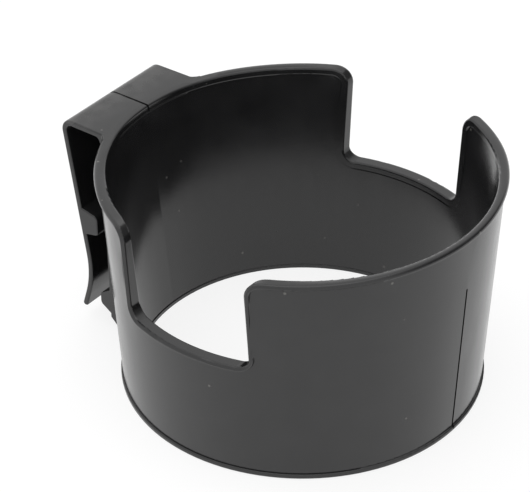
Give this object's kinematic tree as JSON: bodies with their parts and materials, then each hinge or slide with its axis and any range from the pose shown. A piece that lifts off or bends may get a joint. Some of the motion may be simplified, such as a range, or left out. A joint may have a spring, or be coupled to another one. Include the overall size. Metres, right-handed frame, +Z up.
{
  "type": "clip-on cup holder",
  "caption": "Tapered open ring with a hook clip that holds a drinking cup at a car door or panel edge; wide side notches leave room for a mug handle.",
  "frame": {"origin": "on the ring's axis, in the plane that the base stands on", "axes": "+Z up along the ring's axis; +Y towards the hook clip; the notches face -X and +X"},
  "size_m": [0.0868, 0.1005, 0.0531],
  "materials": {
    "cup_holder": "satin black moulded plastic"
  },
  "bodies": {
    "root": {"cup_holder": "cup_holder"}
  },
  "joints": []
}
